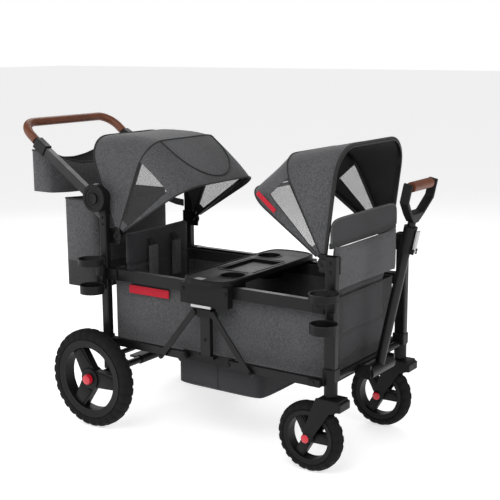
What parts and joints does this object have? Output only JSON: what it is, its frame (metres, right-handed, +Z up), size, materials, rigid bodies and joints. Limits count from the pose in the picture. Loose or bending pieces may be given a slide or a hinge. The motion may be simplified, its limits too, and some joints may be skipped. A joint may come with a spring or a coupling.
{
  "type": "folding stroller wagon",
  "caption": "Folding face-to-face stroller wagon with canopies, a push handle at one end and a pull handle at the other, on fixed rear wheels and front casters.",
  "frame": {"origin": "on the floor under the centre of the overall box", "axes": "+X to the pull-handle end, +Y to the left-hand side, +Z up"},
  "size_m": [1.4193, 0.6808, 0.9955],
  "materials": {
    "frame_black": "satin black powder coat",
    "black_plastic": "fine-grained black plastic",
    "silver_metal": "brushed",
    "tyre_rubber": "matt foam tyre",
    "red_plastic": "gloss red",
    "leather_brown": "stitched brown leather",
    "fabric_grey": "melange grey woven",
    "fabric_black": "black woven"
  },
  "bodies": {
    "rear_frame": {"rear_posts": "frame_black", "rear_cross_tubes": "frame_black", "rear_post_brackets": "black_plastic", "rear_hinge_bases": "black_plastic", "rear_cup_holder": "black_plastic", "storage_bag": "fabric_grey", "tub_walls": "fabric_grey", "tub_floor": "fabric_black", "rear_seat_pad": "fabric_grey", "rear_canopy_arch": "frame_black", "rear_canopy_cloth": "fabric_grey"},
    "push_handle": {"handle_hinge_discs": "black_plastic", "handle_arms": "frame_black", "handle_clamps": "black_plastic", "handle_loop": "frame_black", "handle_grip_sleeve": "leather_brown", "organiser_bag": "fabric_grey"},
    "right_handle_button": {"right_handle_button": "black_plastic"},
    "left_handle_button": {"left_handle_button": "black_plastic"},
    "rear_top_rails": {"rear_top_rails": "frame_black"},
    "rear_bottom_rails": {"rear_bottom_rails": "frame_black"},
    "front_top_rails": {"front_top_rails": "frame_black"},
    "front_bottom_rails": {"front_bottom_rails": "frame_black"},
    "centre_frame": {"centre_top_shells": "black_plastic", "centre_bottom_brackets": "black_plastic", "centre_posts": "frame_black", "tray_latch_bars": "silver_metal"},
    "brace_sliders": {"brace_sliders": "black_plastic"},
    "rear_braces": {"rear_braces": "frame_black"},
    "front_braces": {"front_braces": "frame_black"},
    "tray": {"tray": "black_plastic"},
    "front_frame": {"front_posts": "frame_black", "front_post_brackets": "black_plastic", "caster_housings": "black_plastic", "front_crossbar": "frame_black", "front_cup_holder": "black_plastic", "front_seat_pad": "fabric_grey", "front_canopy_arch": "frame_black", "front_canopy_cloth": "fabric_grey"},
    "rear_mid_bow": {"rear_canopy_mid_bow": "frame_black"},
    "rear_front_bow": {"rear_canopy_front_bow": "frame_black"},
    "front_mid_bow": {"front_canopy_mid_bow": "frame_black"},
    "front_front_bow": {"front_canopy_front_bow": "frame_black"},
    "pull_handle": {"pull_outer_tube": "frame_black", "pull_collar": "black_plastic"},
    "pull_latch": {"pull_latch": "silver_metal"},
    "pull_handle_top": {"pull_inner_tube": "frame_black", "pull_d_frame": "black_plastic", "pull_grip_sleeve": "leather_brown"},
    "right_caster": {"right_caster_fork": "black_plastic"},
    "left_caster": {"left_caster_fork": "black_plastic"},
    "right_front_wheel": {"front_right_tyre": "tyre_rubber", "front_right_rim": "black_plastic"},
    "left_front_wheel": {"front_left_tyre": "tyre_rubber", "front_left_rim": "black_plastic"},
    "right_rear_wheel": {"rear_right_tyre": "tyre_rubber", "rear_right_rim": "black_plastic"},
    "left_rear_wheel": {"rear_left_tyre": "tyre_rubber", "rear_left_rim": "black_plastic"},
    "brake_pedal": {"brake_pedal": "black_plastic"}
  },
  "joints": [
    {"name": "frame_fold", "type": "hinge", "parent": "rear_frame", "child": "rear_top_rails", "pos_m": [-0.28, 0, 0.505], "axis": [0, -1, 0], "range_deg": [0, 88], "deforming": ["rear_seat_pad", "front_seat_pad", "tub_walls", "tub_floor", "rear_canopy_cloth", "front_canopy_cloth"]},
    {"name": "centre_on_top_rails", "type": "hinge", "parent": "rear_top_rails", "child": "centre_frame", "pos_m": [0.0205, 0, 0.505], "axis": [0, 1, 0], "range_deg": [0, 88]},
    {"name": "front_top_rails_on_centre", "type": "hinge", "parent": "centre_frame", "child": "front_top_rails", "pos_m": [0.1905, 0, 0.505], "axis": [0, 1, 0], "range_deg": [0, 88]},
    {"name": "front_frame_on_top_rails", "type": "hinge", "parent": "front_top_rails", "child": "front_frame", "pos_m": [0.491, 0, 0.505], "axis": [0, -1, 0], "range_deg": [0, 88]},
    {"name": "rear_bottom_rails_turn", "type": "hinge", "parent": "rear_frame", "child": "rear_bottom_rails", "pos_m": [-0.28, 0, 0.285], "axis": [0, -1, 0], "range_deg": [0, 88]},
    {"name": "front_bottom_rails_turn", "type": "hinge", "parent": "front_frame", "child": "front_bottom_rails", "pos_m": [0.491, 0, 0.285], "axis": [0, 1, 0], "range_deg": [0, 88]},
    {"name": "brace_slider_travel", "type": "slide", "parent": "centre_frame", "child": "brace_sliders", "axis": [0, 0, -1], "range_m": [0, 0.02894]},
    {"name": "rear_braces_turn", "type": "hinge", "parent": "brace_sliders", "child": "rear_braces", "pos_m": [0.0675, 0, 0.435], "axis": [0, -1, 0], "range_deg": [0, 28.85]},
    {"name": "front_braces_turn", "type": "hinge", "parent": "brace_sliders", "child": "front_braces", "pos_m": [0.1435, 0, 0.435], "axis": [0, 1, 0], "range_deg": [0, 28.85]},
    {"name": "rear_mid_bow_turn", "type": "hinge", "parent": "rear_frame", "child": "rear_mid_bow", "pos_m": [-0.285, 0, 0.628], "axis": [0, -1, 0], "range_deg": [0, 41]},
    {"name": "rear_front_bow_turn", "type": "hinge", "parent": "rear_frame", "child": "rear_front_bow", "pos_m": [-0.285, 0, 0.628], "axis": [0, -1, 0], "range_deg": [0, 72]},
    {"name": "front_mid_bow_turn", "type": "hinge", "parent": "front_frame", "child": "front_mid_bow", "pos_m": [0.496, 0, 0.628], "axis": [0, 1, 0], "range_deg": [0, 33]},
    {"name": "front_front_bow_turn", "type": "hinge", "parent": "front_frame", "child": "front_front_bow", "pos_m": [0.496, 0, 0.628], "axis": [0, 1, 0], "range_deg": [0, 60]},
    {"name": "push_handle_hinge", "type": "hinge", "parent": "rear_frame", "child": "push_handle", "pos_m": [-0.335, 0, 0.755], "axis": [0, 1, 0], "range_deg": [-95, 30], "deforming": ["organiser_bag", "storage_bag"]},
    {"name": "right_handle_button_press", "type": "slide", "parent": "push_handle", "child": "right_handle_button", "axis": [0, 1, 0], "range_m": [0, 0.004], "stiffness_N_per_m": 600},
    {"name": "left_handle_button_press", "type": "slide", "parent": "push_handle", "child": "left_handle_button", "axis": [0, -1, 0], "range_m": [0, 0.004], "stiffness_N_per_m": 600},
    {"name": "pull_handle_hinge", "type": "hinge", "parent": "front_frame", "child": "pull_handle", "pos_m": [0.572, 0, 0.277], "axis": [0, 1, 0], "range_deg": [0, 75]},
    {"name": "pull_handle_extend", "type": "slide", "parent": "pull_handle", "child": "pull_handle_top", "axis": [0.2079, 0, 0.9781], "range_m": [0, 0.2]},
    {"name": "pull_latch_turn", "type": "hinge", "parent": "pull_handle", "child": "pull_latch", "pos_m": [0.67727, 0, 0.6472], "axis": [0, 1, 0], "range_deg": [0, 100]},
    {"name": "tray_lift", "type": "slide", "parent": "centre_frame", "child": "tray", "axis": [0, 0, 1], "range_m": [0, 0.06]},
    {"name": "right_caster_swivel", "type": "hinge", "parent": "front_frame", "child": "right_caster", "pos_m": [0.533, -0.225, 0.242], "axis": [0, 0, 1], "continuous": true},
    {"name": "left_caster_swivel", "type": "hinge", "parent": "front_frame", "child": "left_caster", "pos_m": [0.533, 0.225, 0.242], "axis": [0, 0, 1], "continuous": true},
    {"name": "right_front_wheel_spin", "type": "hinge", "parent": "right_caster", "child": "right_front_wheel", "pos_m": [0.467, -0.225, 0.108], "axis": [0, 1, 0], "continuous": true},
    {"name": "left_front_wheel_spin", "type": "hinge", "parent": "left_caster", "child": "left_front_wheel", "pos_m": [0.467, 0.225, 0.108], "axis": [0, 1, 0], "continuous": true},
    {"name": "right_rear_wheel_spin", "type": "hinge", "parent": "rear_frame", "child": "right_rear_wheel", "pos_m": [-0.322, -0.306, 0.165], "axis": [0, 1, 0], "continuous": true},
    {"name": "left_rear_wheel_spin", "type": "hinge", "parent": "rear_frame", "child": "left_rear_wheel", "pos_m": [-0.322, 0.306, 0.165], "axis": [0, 1, 0], "continuous": true},
    {"name": "brake_pedal_turn", "type": "hinge", "parent": "rear_frame", "child": "brake_pedal", "pos_m": [-0.322, 0, 0.165], "axis": [0, -1, 0], "range_deg": [0, 20]}
  ],
  "couplings": [
    {"joint": "centre_on_top_rails", "follows": "frame_fold", "ratio": 1},
    {"joint": "front_top_rails_on_centre", "follows": "frame_fold", "ratio": 1},
    {"joint": "front_frame_on_top_rails", "follows": "frame_fold", "ratio": 1},
    {"joint": "rear_bottom_rails_turn", "follows": "frame_fold", "ratio": 1},
    {"joint": "front_bottom_rails_turn", "follows": "frame_fold", "ratio": 1},
    {"joint": "brace_slider_travel", "follows": "frame_fold", "m_per_rad": 0.018843},
    {"joint": "rear_braces_turn", "follows": "frame_fold", "ratio": 0.32782},
    {"joint": "front_braces_turn", "follows": "frame_fold", "ratio": 0.32782},
    {"joint": "rear_mid_bow_turn", "follows": "frame_fold", "ratio": 0.46591},
    {"joint": "rear_front_bow_turn", "follows": "frame_fold", "ratio": 0.81818},
    {"joint": "front_mid_bow_turn", "follows": "frame_fold", "ratio": 0.375},
    {"joint": "front_front_bow_turn", "follows": "frame_fold", "ratio": 0.68182}
  ]
}
